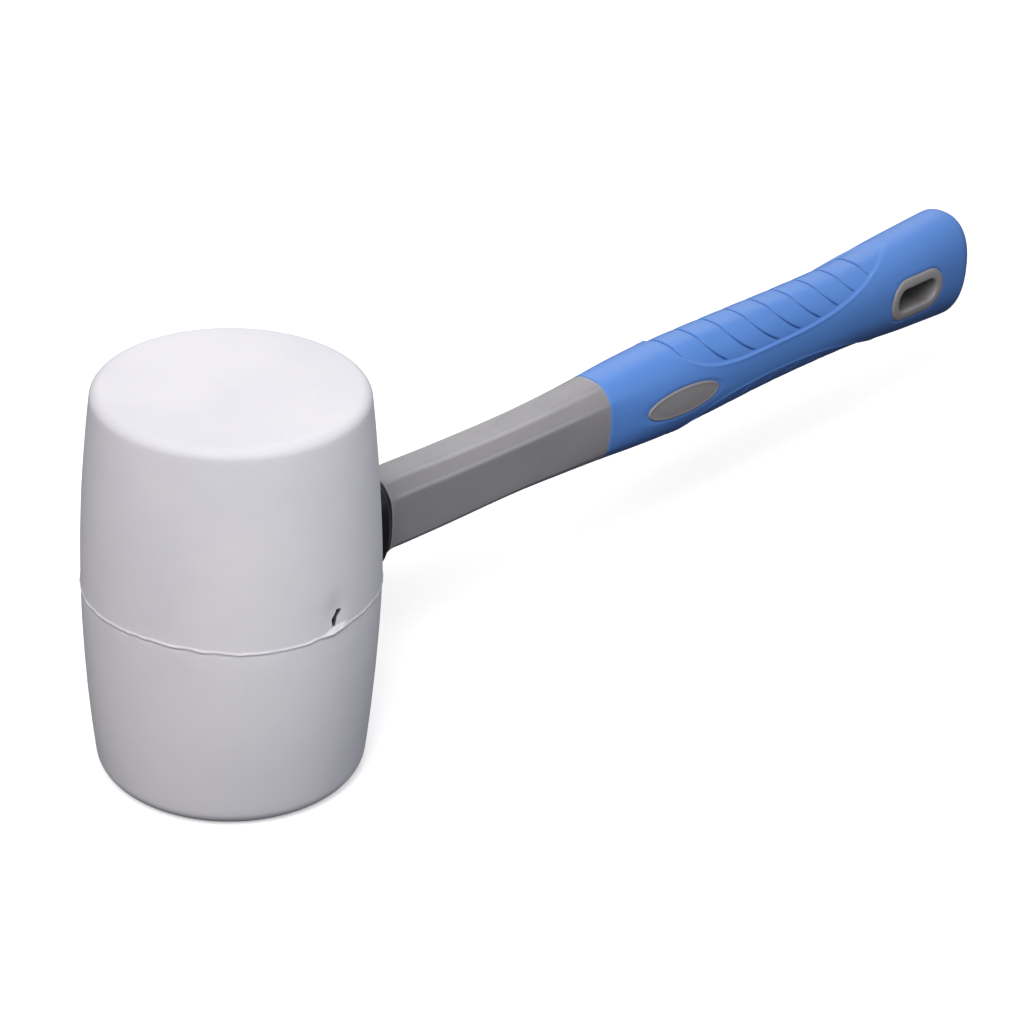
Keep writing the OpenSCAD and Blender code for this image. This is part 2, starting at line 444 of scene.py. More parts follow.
finishes["fibreglass"] = {
    "plain": {"IOR": 1.54, "Coat Weight": 0.3, "Coat Roughness": 0.2},
    "grain": (70.0, 0.12, 1200.0, 0.2),
    "base": (0.60, 0.50, 0.26), "mottle": ("bands", (0.80, 0.74, 0.52)),
    "coats": [],
    "rough": (0.4, {"Gloss": 0.2}),
    "relief": {"fibres": 1.0}, "bump": (0.00008, 1.0),
}
finishes["pinSteel"] = {
    "plain": {"IOR": 2.5},
    "grain": (150.0, 0.15, 3000.0, 0.6),
    "base": (0.56, 0.56, 0.58),
    "coats": [("rust", 0.6, (0.22, 0.10, 0.045))],
    "rough": (0.3, {"Gloss": 0.3, "rust": 0.35}),
    "relief": {"lines": 1.0, "Height": 0.4}, "bump": (0.00003, 1.0),
}


def addOwnMasks(name, tree, place, masks):
    # the masks that only one material has
    if name == "whiteRubber":
        masks["cloud"] = noise(tree, place, 17.0, detail=3.0).over(0.35, 0.68)
    elif name == "greyPlastic":
        # edge wear, plus the stored painted highlight on the corners and the ring and the wear by
        # the edges
        masks["allWearAndHighlight"] = masks["Wear"] + masks["wearAndHighlight"] * 0.75
    elif name == "blueGrip":
        # painted shade: faces that look down are coloured darker blue
        geometry = tree.nodes.new("ShaderNodeNewGeometry")
        masks["under"] = splitVector(tree, geometry.outputs["Normal"])[2].over(0.1, -0.7)
    elif name == "curedAdhesive":
        masks["bubbles"] = noise(tree, place, 900.0, detail=1.0).over(0.6, 0.7)
    elif name == "fibreglass":
        # long fibres along the rod
        x, y, z = splitVector(tree, place.socket)
        masks["fibres"] = noise(tree, joinVector(tree, x * 0.03, y, z), 2600.0, 3.0, 0.7)
        masks["bands"] = masks["fibres"].over(0.4, 0.62)
    elif name == "pinSteel":
        # drawn lines along the pin and a little surface rust
        x, y, z = splitVector(tree, place.socket)
        masks["lines"] = noise(tree, joinVector(tree, x, y * 0.03, z), 5200.0, 3.0, 0.6)
        masks["rust"] = noise(tree, place, 320.0, detail=5.0, rough=0.7).over(0.58, 0.72)
        feed(tree.nodes["Principled BSDF"].inputs["Metallic"], masks["rust"] * -0.7 + 1.0)


def makeMaterial(name):
    finish = finishes[name]
    material = bpy.data.materials.new(name)
    material.use_nodes = True
    tree = material.node_tree
    shader = tree.nodes["Principled BSDF"]
    for label, value in finish["plain"].items():
        shader.inputs[label].default_value = value
    masks = {}
    for kind, group in sharedEffects.items():
        if kind in finish:
            effect = tree.nodes.new("ShaderNodeGroup")
            effect.node_tree = group
            for socket, value in zip(effect.inputs, finish[kind]):
                socket.default_value = value
            masks.update({output.name: Wire(tree, output) for output in effect.outputs})
    for label in finish.get("stored", ()):
        attribute = tree.nodes.new("ShaderNodeAttribute")
        attribute.attribute_name = label
        masks[label] = Wire(tree, attribute.outputs["Fac"])
    place = tree.nodes.new("ShaderNodeTexCoord")
    addOwnMasks(name, tree, Wire(tree, place.outputs["Object"]), masks)

    colour = finish["base"]
    if "mottle" in finish:
        label, second = finish["mottle"]
        colour = blendColour(tree, masks[label], colour, second)
    grey = tree.nodes.new("ShaderNodeCombineColor")
    for channel in grey.inputs[:3]:
        feed(channel, masks["Tone"])
    colour = blendColour(tree, 1.0, colour, Wire(tree, grey.outputs[0]), "MULTIPLY")
    for label, share, tint in finish["coats"]:
        colour = blendColour(tree, masks[label] * share, colour, tint)
    bump = tree.nodes.new("ShaderNodeBump")
    bump.inputs["Distance"].default_value, bump.inputs["Strength"].default_value = finish["bump"]
    feed(bump.inputs["Height"], weighed(masks, finish["relief"]))
    feed(shader.inputs["Base Color"], colour)
    rough, shifts = finish["rough"]
    feed(shader.inputs["Roughness"], weighed(masks, shifts, rough))
    feed(shader.inputs["Normal"], Wire(tree, bump.outputs[0]))
    return material


whiteRubber = makeMaterial("whiteRubber")
blackRubber = makeMaterial("blackRubber")
greyPlastic = makeMaterial("greyPlastic")
blueGrip = makeMaterial("blueGrip")
print("materials made")


# --- the handle's section, shared by the collar, the jacket and the grip

handleShape = {
    # distance from the head's axis, half width, half height,
    # share of the eight flats (the rest is oval), height of the section's middle
    "stations": [
        (52, 8.6, 12.1, 0.1, -0.2),
        (60, 8.6, 12.0, 0.85, -0.22),
        (66, 8.6, 11.95, 1, -0.3),
        (80, 8.6, 11.75, 1, -0.6),
        (112, 8.6, 11.6, 1, -0.75),
        (132, 9.1, 12.5, 0.8, -0.85),
        (149, 10.2, 13.75, 0.35, -0.7),
        (163, 11.8, 14.65, 0.1, -0.65),
        (182, 12.8, 15.35, 0, -0.6),
        (204, 12.9, 15.1, 0, -0.35),
        (222, 12.75, 14.65, 0, -0.05),
        (244, 12.65, 14.4, 0, -0.05),
        (273, 12.7, 14.8, 0, -0.2),
        (300, 12.9, 17.3, 0, -0.1),
        (326, 12.6, 19.3, 0, 0.1),
    ],
    "cornerCut": 0.33,
    "cornerPower": 30,  # higher is a crisper corner between two flats
    "ovalPower": 2.35,
    "flareLength": 6,
    "flareRadius": 15,
    "lip": 3.4,  # how far the collar stands out where it meets the head
    "domePower": 2.3,
    "columns": 256,
}
domeStart = handleShape["stations"][-1][0]
domeLength = gripHigh.x - domeStart
shoulder = collarHigh.x
gripEdge = gripLow.x
turns = np.arange(handleShape["columns"]) * 2 * math.pi / handleShape["columns"]


def stationCurve(x, column):
    rows = np.array(handleShape["stations"], float)
    places, values = rows[:, 0], rows[:, column]
    order = np.arange(len(rows))
    before, after = np.maximum(order - 1, 0), np.minimum(order + 1, len(rows) - 1)
    slopes = (values[after] - values[before]) / (places[after] - places[before])
    k = np.clip(np.searchsorted(places, x, side="right") - 1, 0, len(rows) - 2)
    width = places[k + 1] - places[k]
    t = np.clip((x - places[k]) / width, 0, 1)
    easing = t * t * (3 - 2 * t)
    lead, tail = t * (1 - t) ** 2, t * t * (t - 1)
    return (values[k] * (1 - easing) + values[k + 1] * easing
            + width * (lead * slopes[k] + tail * slopes[k + 1]))


def flare(x):
    radius = handleShape["flareRadius"]
    run = np.clip(shoulder + handleShape["flareLength"] - x, 0, radius)
    return np.minimum(radius - np.sqrt(radius ** 2 - run ** 2), handleShape["lip"])


def sectionLevels(x, turn, grow=0.0):
    # one over the distance to the side flats, to the top and bottom ones, and to the cut corners
    a = stationCurve(x, 1) + flare(x) + grow
    b = stationCurve(x, 2) + flare(x) + grow
    across, up = np.abs(np.cos(turn)), np.abs(np.sin(turn))
    return across / a, up / b, (across + up) / (a + b * (1 - handleShape["cornerCut"]))


def sectionRadius(x, turn, grow):
    side, top, corner = sectionLevels(x, turn, grow)
    flats = np.clip(stationCurve(x, 3), 0, 1)
    n, p = handleShape["ovalPower"], handleShape["cornerPower"]
    oval = (side ** n + top ** n) ** (-1 / n)
    faceted = (side ** p + top ** p + corner ** p) ** (-1 / p)
    return faceted * flats + oval * (1 - flats)


def cornerShare(x, turn):
    # 1 on the rounded corners between the flats, 0 on the flats
    levels = np.sort(np.stack(np.broadcast_arrays(*sectionLevels(x, turn))), axis=0)
    return smooth(levels[1] / levels[2], 0.93, 0.985) * np.clip(stationCurve(x, 3), 0, 1)


def sectionPoints(x, turn, grow=0.0, size=1.0):
    # points on the handle's surface, moved out by grow; every argument may be an array
    x, turn, grow, size = np.broadcast_arrays(x, turn, grow, size)
    near = np.minimum(x, domeStart)
    radius = sectionRadius(near, turn, grow) * size
    return pointsAt(x, radius * np.cos(turn),
                    radius * np.sin(turn) + stationCurve(near, 4) + axisHeight)


def ringsAlong(places, grows):
    return sectionPoints(np.array(places)[:, None], turns[None, :], np.array(grows)[:, None])


def domeRings(length, grow, count):
    swing = np.linspace(0, math.pi / 2, count + 1)[1:] - 0.004
    run = np.sin(swing) ** (2 / handleShape["domePower"])
    size = np.cos(swing) ** (2 / handleShape["domePower"])
    rings = sectionPoints(np.full((count, 1), domeStart), turns[None, :], grow, size[:, None])
    rings[..., 0] += (length * run)[:, None]
    return rings


def oblongRings(width, height, places):
    # oblong section standing on edge, at each place along the handle
    radius, rise = width / 2, (height - width) / 2
    across, up = np.abs(np.cos(turns)), np.abs(np.sin(turns))
    flat = radius / np.maximum(across, 1e-9)
    cap = rise * up + np.sqrt(np.maximum(radius ** 2 - (rise * across) ** 2, 0))
    reach = np.where(flat * up <= rise, flat, cap)
    return np.stack([pointsAt(x, reach * np.cos(turns), reach * np.sin(turns) + axisHeight)
                     for x in places])


def barAlong(name, diameter, low, high, axis):
    # round bar about the handle's axis height, along X or along Y
    swing = np.arange(96) * 2 * math.pi / 96
    across, up = diameter / 2 * np.cos(swing), diameter / 2 * np.sin(swing) + axisHeight
    rings = [pointsAt(place, across, up) if axis == "X" else pointsAt(across, place, up)
             for place in np.linspace(low, high, 4)]
    return loftPiece(name, np.stack(rings))


def pinBore():
    return barAlong("bore", pinHigh.x - pinLow.x, pinLow.y, pinHigh.y, "Y")


# --- rubber head

head = {
    "faceRadius": 38.5,  # at each striking face, as if its edge were sharp
    "upperEdge": 3.4,  # radius of the rounded edge of each face
    "lowerEdge": 5.5,
}
gate = {
    "angle": -90,  # square to the handle
    "fineArc": 11,  # degrees on each side that get fine columns
    # mm round the waist from the gate, then mm above the waist
    "nubPlace": (1.0, 0.45), "nubReach": (3.9, 1.15), "nubTilt": 0.12,
    "dentPlace": (1.0, 7.0), "dentReach": (3.4, 4.6),
    "slitFoot": (1.5, 2.2), "slitTop": (6.8, 6.1),  # rises at which the slit fades in and out
    "eyeSwellReach": (38, 20),
}
headSizes = {
    "Line Height": 0.30, "Line Width": 0.42, "Wander": 0.62, "Kink": 0.32,
    "Nub Height": 0.42, "Slit Depth": 2.6, "Dent Depth": 0.45, "Swell": 0.9,
    "Lump": 0.22, "Seed": 7,
}
waistRadius = headHigh.x
halfHeight = (headHigh.z - headLow.z) / 2


def barrelRadius(rise):
    return waistRadius - (waistRadius - head["faceRadius"]) * (rise / halfHeight) ** 2


def barrelRings(azimuths, heightsLow, heightsHigh, edgeSteps=11, capSteps=7):
    lean = math.atan(2 * (waistRadius - head["faceRadius"]) / halfHeight)

    def edgeProfile(corner):
        # radius and height below the face of the flat cap and its rounded edge, from the middle out
        startHeight = halfHeight - corner * (1 - math.sin(lean))
        centre = barrelRadius(startHeight) - corner * math.cos(lean)
        swing = np.linspace(-math.pi / 2, -lean, edgeSteps)
        cap = np.linspace(0.4, centre, capSteps + 1)[:-1]
        radius = np.concatenate([cap, centre + corner * np.cos(swing)])
        return radius, np.concatenate([cap * 0, corner * (1 + np.sin(swing))]), startHeight

    lowR, lowRise, lowStart = edgeProfile(head["lowerEdge"])
    topR, topRise, topStart = edgeProfile(head["upperEdge"])
    side = np.concatenate([np.linspace(-lowStart, heightsLow[0], 30)[1:-1], heightsLow, heightsHigh,
                           np.linspace(heightsHigh[-1], topStart, 28)[1:-1]])
    radius = np.concatenate([lowR, barrelRadius(side), topR[::-1]])
    rise = np.concatenate([lowRise - halfHeight, side, halfHeight - topRise[::-1]])
    return pointsAt(radius[:, None] * np.cos(azimuths), radius[:, None] * np.sin(azimuths),
                    rise[:, None] + axisHeight)


def ovalDistance(across, up, place, reach):
    # 0 at the place, 1 on an oval round it
    return (((across - place[0]) / reach[0]).math("POWER", 2.0)
            + ((up - place[1]) / reach[1]).math("POWER", 2.0))


def makeHeadTree():
    tree, source, given = geometryTree("barrelFlash", headSizes)
    position = tree.nodes.new("GeometryNodeInputPosition")
    normal = tree.nodes.new("GeometryNodeInputNormal")
    x, y, z = splitVector(tree, position.outputs[0])
    upward = splitVector(tree, normal.outputs[0])[2]
    scaled = joinVector(tree, x * 1000.0 + given["Seed"] * 13.0, y * 1000.0, z * 1000.0)
    around = joinVector(tree, x * 1000.0 + given["Seed"] * 13.0, y * 1000.0, 0.0)
    azimuth = y.math("ARCTAN2", x)
    rise = z * 1000.0 - axisHeight
    arc = (azimuth - math.radians(gate["angle"])) * waistRadius

    # the parting line wanders in four slow waves, with short kinks
    waves = (azimuth * 4.0 + math.radians(4 * 163)).math("COSINE") * given["Wander"]
    kinks = (noise(tree, around, 0.16, detail=2.0) - 0.5) * given["Kink"] * 4.0
    offLine = rise - waves - kinks - 0.1
    strength = noise(tree, around, 0.3, detail=2.0).over(0.3, 0.7, 0.6, 1.15)
    ridge = offLine.bell(given["Line Width"]) * strength
    trough = (offLine + 0.95).bell(0.35) * (noise(tree, around, 0.22).over(0.45, 0.7))
    step = offLine.over(-0.5, 0.5, -0.5, 0.5) * offLine.bell(3.0) * 0.12

    # torn gate nub on the line
    tear = noise(tree, scaled, 0.55, detail=2.0, rough=0.6).over(0.25, 0.75, 0.75, 1.15)
    tilted = rise - (arc - gate["nubPlace"][0]) * gate["nubTilt"]
    nub = ovalDistance(arc, tilted, gate["nubPlace"], gate["nubReach"]).over(2.2, 0.0) * tear

    # short slit above it that bends over at the top, in a shallow dent
    bend = rise.over(3.7, 6.3, 0.2, 2.0)
    twist = (rise * 2.2).math("SINE") * 0.1
    ends = rise.over(*gate["slitFoot"]) * rise.over(*gate["slitTop"])
    gape = rise.over(1.8, 4.6, 0.42, 0.7)
    offSlit = (arc - bend - twist).math("ABSOLUTE") / gape
    slit = offSlit.over(1.25, 0.45) * ends
    # painted shade: the slit and its walls are marked to be coloured near black
    paintedSlitShade = offSlit.over(1.6, 1.2) * ends
    fromDent = ovalDistance(arc, rise, gate["dentPlace"], gate["dentReach"])
    dent = (fromDent * -1.0).math("EXPONENT")

    # the rubber swells a little round the eye
    fromEye = ovalDistance(azimuth * waistRadius, rise, (0.0, 0.0), gate["eyeSwellReach"])
    swell = (fromEye * -1.0).math("EXPONENT") * given["Swell"]

    lumps = (noise(tree, scaled, 0.045, detail=2.0) - 0.5) * given["Lump"]
    lumps = lumps + (noise(tree, scaled, 0.16, detail=1.0) - 0.5) * given["Lump"] * 0.3
    side = upward.math("ABSOLUTE").over(0.9, 0.5)
    height = (ridge * given["Line Height"] - trough * 0.1 + step + nub * given["Nub Height"]
              - slit * given["Slit Depth"] - dent * given["Dent Depth"] + swell + lumps) * side * mm
    offset = joinVector(tree, azimuth.math("COSINE") * height, azimuth.math("SINE") * height, 0.0)
    flash = (ridge * 0.5).math("MAXIMUM", nub) * side
    shapeSurface(tree, source, offset, {
        "flash": flash.math("MINIMUM", 1.0), "slit": paintedSlitShade})
    return tree


def sleeveRings(reach):
    return oblongRings(collarSleeve["width"], collarSleeve["height"],
                       (collarLow.x, waistRadius + reach))


def makeHead():
    first, last = gate["angle"] - gate["fineArc"], gate["angle"] + gate["fineArc"]
    azimuths = np.radians(np.concatenate([
        np.linspace(first, last, 112, endpoint=False),
        np.linspace(last, first + 360, 286, endpoint=False)]))
    rings = barrelRings(azimuths, np.linspace(-2, 2.2, 24), np.linspace(2.4, 9, 42))
    piece = loftPiece("rubberHead", rings)
    runTree(piece, makeHeadTree(), headSizes, whiteRubber)
    eye = oblongRings(glueHigh.y - glueLow.y, glueHigh.z - glueLow.z, (glueLow.x, waistRadius + 6))
    combine(piece, loftPiece("eye", eye))
    combine(piece, loftPiece("mouth", sleeveRings(6)))
    combine(piece, pinBore())
    finishPiece(piece, whiteRubber, "rubber_head")


# --- eye collar

collarSleeve = {"width": 21.0, "height": 27.0, "rounding": 0.45}


def makeCollar():
    inner = waistRadius - handleShape["lip"]
    rounding = collarSleeve["rounding"]
    swing = np.linspace(0, math.pi / 2, 5)
    places = np.concatenate([np.linspace(inner, shoulder - rounding, 60)[:-1],
                             shoulder - rounding + rounding * np.sin(swing)])
    grows = np.concatenate([np.zeros(59), rounding * (np.cos(swing) - 1)])
    piece = loftPiece("eyeCollar", ringsAlong(places, grows))
    azimuths = np.linspace(0, 2 * math.pi, 240, endpoint=False)
    barrel = barrelRings(azimuths, np.array([-9.0, 0.0]), np.array([2.0, 9.0]))
    combine(piece, loftPiece("barrel", barrel))
    combine(piece, loftPiece("sleeve", sleeveRings(4)), "UNION")
    combine(piece, loftPiece("tenonCut", tenonPart(collarLow.x - 1, shoulder + 1)))
    finishPiece(piece, blackRubber, "eye_collar")


# --- handle jacket: tenon, faceted shaft, core under the grip, pads and slot ring

tenonShape = {"width": 16.0, "height": 22.0, "grooves": 5, "pitch": 9.0, "land": 5.0, "depth": 0.6}
window = {
    "padLength": 32.8, "padHeight": 9.8, "padPower": 2.05, "padPlace": 180.5,
    "slotLength": 21.0, "slotHeight": 8.4, "slotPlace": 301.6, "ringWall": 3.6,
    "rise": -0.6,  # from the handle's axis to the middle of the pads and the slot
    "gap": 0.07,  # seam between the grip and what shows through it
    "ringPaintedLight": 0.35,
}
gripWall = 2.8


def sideDepth(x, z):
    # distance from the handle's middle plane to its side surface
    a, b = stationCurve(x, 1), stationCurve(x, 2)
    n = handleShape["ovalPower"]
    lift = np.abs((z - stationCurve(x, 4)) / b)
    return a * (1 - np.minimum(lift, 0.98) ** n) ** (1 / n)


def tenonPart(low, high, inset=0.0):
    return oblongRings(tenonShape["width"] - 2 * inset, tenonShape["height"] - 2 * inset,
                       (low, high))


def tenonRings():
    start, pitch = jacketLow.x, tenonShape["pitch"]
    rings = []
    for k in range(tenonShape["grooves"]):
        low = start + k * pitch
        high = low + tenonShape["land"]
        rings.append(tenonPart(low, high))
        rings.append(tenonPart(high + 0.3, low + pitch - 0.3, tenonShape["depth"]))
    rings.append(tenonPart(start + tenonShape["grooves"] * pitch, shoulder - 0.02))
    return rings


def padOutline(grow, steps):
    swing = np.arange(steps) * 2 * math.pi / steps
    n = window["padPower"]
    halfLength, halfTall = window["padLength"] / 2 + grow, window["padHeight"] / 2 + grow
    reach = ((np.abs(np.cos(swing)) / halfLength) ** n
             + (np.abs(np.sin(swing)) / halfTall) ** n) ** (-1 / n)
    return np.stack([reach * np.cos(swing), reach * np.sin(swing)], axis=-1)


def windowRing(place, outline, side, height):
    # the outline laid on one side of the handle, at a height over the grip's surface
    x, rise = place + outline[:, 0], outline[:, 1] + window["rise"]
    return pointsAt(x, side * (sideDepth(x, rise) + height), rise + axisHeight)


def padPiece(side):
    # inset from the outline, height over the grip's surface
    profile = [(0, -5), (0, -0.5), (0.06, -0.08), (0.2, 0.14), (0.42, 0.24), (0.7, 0.22),
               (1.0, 0.14), (1.4, 0.1)]
    profile = [(inset, height, 1) for inset, height in profile]
    # then the flat face closes in on its middle
    profile += [(1.4, 0.12, share) for share in (0.8, 0.6, 0.4, 0.2, 0.02)]
    full = np.array([window["padLength"], window["padHeight"]])
    rings = [windowRing(window["padPlace"], padOutline(0, 120) * (1 - 2 * inset / full) * share,
                        side, height) for inset, height, share in profile]
    return loftPiece("pad", np.stack(rings))


def slotOutline(grow, arcSteps=24, flatSteps=10):
    # outline of the slot, grown outwards, as distances along and up from its middle
    radius, run = window["slotHeight"] / 2, (window["slotLength"] - window["slotHeight"]) / 2
    outline = []
    for side in (1, -1):
        swing = np.linspace(-math.pi / 2, math.pi / 2, arcSteps) + (0 if side > 0 else math.pi)
        outline.append(np.stack([side * run + (radius + grow) * np.cos(swing),
                                 (radius + grow) * np.sin(swing)], axis=-1))
        flat = np.linspace(side * run, -side * run, flatSteps + 2)[1:-1]
        outline.append(np.stack([flat, np.full_like(flat, side * (radius + grow))], axis=-1))
    return np.concatenate(outline)


def slotRingPiece():
    # how far out from the slot's wall, height over the grip's surface
    profile = [(3.6, -3.5), (3.6, -0.5), (3.52, -0.08), (3.3, 0.14), (2.9, 0.26), (2.4, 0.3),
               (1.8, 0.29), (1.1, 0.26), (0.55, 0.2), (0.2, 0.04), (0.05, -0.25), (0.0, -0.7),
               (0.0, -2), (0.0, -5), (0.0, -9)]
    rings, hollow = [], []
    for side in (1, -1):
        for out, height in (profile if side > 0 else profile[::-1]):
            outline = slotOutline(out)
            rings.append(windowRing(window["slotPlace"], outline, side, height))
            # painted shade: the slot's inner walls are coloured darker
            hollow.append(np.full(len(outline), min(-height / 3, 1) if out < 0.1 else 0))
    piece = loftPiece("slotRing", np.stack(rings), closed=False)
    storeValue(piece, "hollow", np.concatenate(hollow))
    # painted light: the whole ring is coloured lighter
    storeValue(piece, "wearAndHighlight", np.full(len(piece.data.vertices), window["ringPaintedLight"]))
    return piece


def crossBar(name, outline, place, halfDepth=24.0):
    rings = [pointsAt(place + outline[:, 0], y, outline[:, 1] + window["rise"] + axisHeight)
             for y in (-halfDepth, 0.0, halfDepth)]
    return loftPiece(name, np.stack(rings))


def makeJacket():
    rounding = 0.35
    edge = gripEdge - 0.05
    shaftPlaces = [shoulder, shoulder + 0.12, shoulder + rounding,
                   *np.arange(shoulder + 1, edge - 1.2, 1.0),
                   edge - 0.9, edge - rounding, edge - 0.1, edge]
    shaftGrows = [-rounding, -0.1] + [0.0] * (len(shaftPlaces) - 5) + [-0.03, -0.1, -0.22]
    corePlaces = [gripEdge + 0.05, *np.linspace(gripEdge + 1, domeStart, 70)]
    core = ringsAlong([edge, *corePlaces], [-gripWall] * (len(corePlaces) + 1))
    shaft = ringsAlong(shaftPlaces, shaftGrows)
    rings = np.concatenate([*tenonRings(), shaft, core, domeRings(domeLength / 3, -gripWall, 10)])
    piece = loftPiece("handleJacket", rings)
    first = len(rings) - len(core) - 10 - len(shaft)
    wearAndHighlight = np.zeros(len(piece.data.vertices))
    # wear beside the shoulder and the grip's edge, and a painted highlight on the rounded corners
    # between the flats, both coloured lighter
    near = np.maximum(smooth(-shaft[:, :, 0], -shoulder - 0.9, -shoulder - 0.2),
                      smooth(shaft[:, :, 0], edge - 1.1, edge - 0.4))
    crease = cornerShare(shaft[:, :, 0], turns[None, :])
    columns = handleShape["columns"]
    wearAndHighlight[first * columns:(first + len(shaft)) * columns] = np.maximum(near * 0.6, crease).ravel()
    storeValue(piece, "wearAndHighlight", wearAndHighlight)
    storeValue(piece, "hollow", np.zeros(len(wearAndHighlight)))
    bore = barAlong("rodBore", rodHigh.y - rodLow.y, jacketLow.x - 1, rodHigh.x, "X")
    combine(piece, bore)
    hole = slotOutline(window["ringWall"] / 2)
    combine(piece, crossBar("slotHole", hole, window["slotPlace"]))
    combine(piece, slotRingPiece(), "UNION")
    for side in (1, -1):
        combine(piece, padPiece(side), "UNION")
    combine(piece, pinBore())
    finishPiece(piece, greyPlastic, "handle_jacket")


# --- soft grip

grip = {
    "panelWide": 66,  # degrees from the spine to the widest point of the crescent
    "panelFront": 179.3, "panelMiddle": 225.0, "panelRear": 296.0,
    "firstGroove": 182.6, "pitch": 11.9, "grooves": 9,
    "sweep": 7.7,  # how far a groove has swept back at 60 degrees from the spine
    "edgeRounding": 0.5,
    "edgeStand": 0.06,  # how far the front edge stands over the grey shaft
    "girth": 14.4,  # mm round the grip for each radian, at the crescent's border
    "grooveGirth": 14.7,  # the same, at the grooves
}
gripSizes = {
    "Panel Depth": 0.5, "Step Width": 0.9, "Bead": 0.19, "Groove Width": 0.33, "Groove Depth": 0.46,
    "Pitch": grip["pitch"], "Pillow": 0.07, "Wave": 0.05, "Spine Share": 0.35, "Seed": 3,
}


def panelReach(x):
    # degrees from the spine to the crescent's border
    front = np.clip((grip["panelMiddle"] - x) / (grip["panelMiddle"] - grip["panelFront"]), 0, 1)
    rear = np.clip((x - grip["panelMiddle"]) / (grip["panelRear"] - grip["panelMiddle"]), 0, 1)
    return grip["panelWide"] * np.sqrt(1 - front ** 3) * (1 - rear ** 2.64)


def makeGripTree():
    tree, source, given = geometryTree("gripTread", gripSizes)
    normal = tree.nodes.new("GeometryNodeInputNormal")
    position = tree.nodes.new("GeometryNodeInputPosition")
    x, y, z = splitVector(tree, position.outputs[0])
    scaled = joinVector(tree, x * 1000.0 + given["Seed"] * 17.0, y * 1000.0, z * 1000.0)
    # inside is mm inside the crescent's border, run is mm along the handle before the grooves'
    # sweep, slant is 1 where a groove runs square to the handle, skin is 1 on the outer surface,
    # spine is degrees from the nearer spine, nearWindow is mm from a pad or the slot's ring
    inside, run, slant, skin, spine, nearWindow = (namedValue(tree, label) for label in (
        "inside", "run", "slant", "skin", "spine", "nearWindow"))

    phase = (run - grip["firstGroove"]) / given["Pitch"]
    nearest = phase.math("ROUND").math("MAXIMUM", 0.0).math("MINIMUM", grip["grooves"] - 1.0)
    offGroove = (phase - nearest) * given["Pitch"] * slant
    within = inside.over(0.1, 1.0)
    groove = offGroove.bell(given["Groove Width"]) * within
    halfRib = ((phase - nearest).math("ABSOLUTE") * 2.0).math("MINIMUM", 1.0)
    pillow = halfRib.over(0.0, 0.55) * given["Pillow"] * within
    # the border fades towards the spine
    edge = spine.over(10.0, 34.0, given["Spine Share"], 1.0)
    step = inside.over(given["Step Width"] * -0.5, given["Step Width"] * 0.5) * edge
    bead = (inside + given["Step Width"] * 0.75).bell(given["Step Width"] * 0.55)
    wave = (noise(tree, scaled, 0.07, detail=1.0) - 0.5) * given["Wave"] * 2.0
    roll = nearWindow.over(0.9, 0.0) * 0.28
    height = (bead * given["Bead"] * edge + pillow + wave - step * given["Panel Depth"]
              - groove * given["Groove Depth"] - roll) * skin * mm
    scale = tree.nodes.new("ShaderNodeVectorMath")
    scale.operation = "SCALE"
    tree.links.new(normal.outputs[0], scale.inputs[0])
    feed(scale.inputs["Scale"], height)
    # painted highlight: a lighter blue line along the crescent's border
    rimHighlight = (inside + 0.35).bell(0.5) * skin * edge
    # the groove mask also colours the grooves darker: painted shade
    shapeSurface(tree, source, Wire(tree, scale.outputs[0]),
                 {"groove": groove * skin, "rimHighlight": rimHighlight})
    return tree


def windowDistance(x, rise):
    # mm outside the nearer of the pad's edge and the slot ring's edge
    across = np.abs(x - window["padPlace"]) * 2 / window["padLength"]
    up = np.abs(rise - window["rise"]) * 2 / window["padHeight"]
    n = window["padPower"]
    pad = ((across ** n + up ** n) ** (1 / n) - 1) * window["padHeight"] / 2
    run = (window["slotLength"] - window["slotHeight"]) / 2
    beyond = np.maximum(np.abs(x - window["slotPlace"]) - run, 0)
    ring = np.hypot(beyond, rise - window["rise"]) - window["slotHeight"] / 2 - window["ringWall"]
    return np.minimum(pad, ring)


def gripRuns():
    # places along the grip, close together beside every groove
    wall = grip["edgeRounding"]
    steps = np.array([0.12, 0.24, 0.38, 0.55, 0.8, 1.15])
    beside = np.concatenate([-steps[::-1], [0], steps])
    last = grip["firstGroove"] + (grip["grooves"] - 1) * grip["pitch"]
    runs = [np.arange(gripEdge + wall + 0.6, grip["firstGroove"] - 1.4, 1.25)]
    for k in range(grip["grooves"]):
        middle = grip["firstGroove"] + k * grip["pitch"]
        runs.append(middle + beside)
        if k < grip["grooves"] - 1:
            runs.append(np.linspace(middle + 1.15, middle + grip["pitch"] - 1.15, 9)[1:-1])
    runs.append(np.arange(last + 2.0, domeStart, 1.25))
    return np.concatenate(runs)


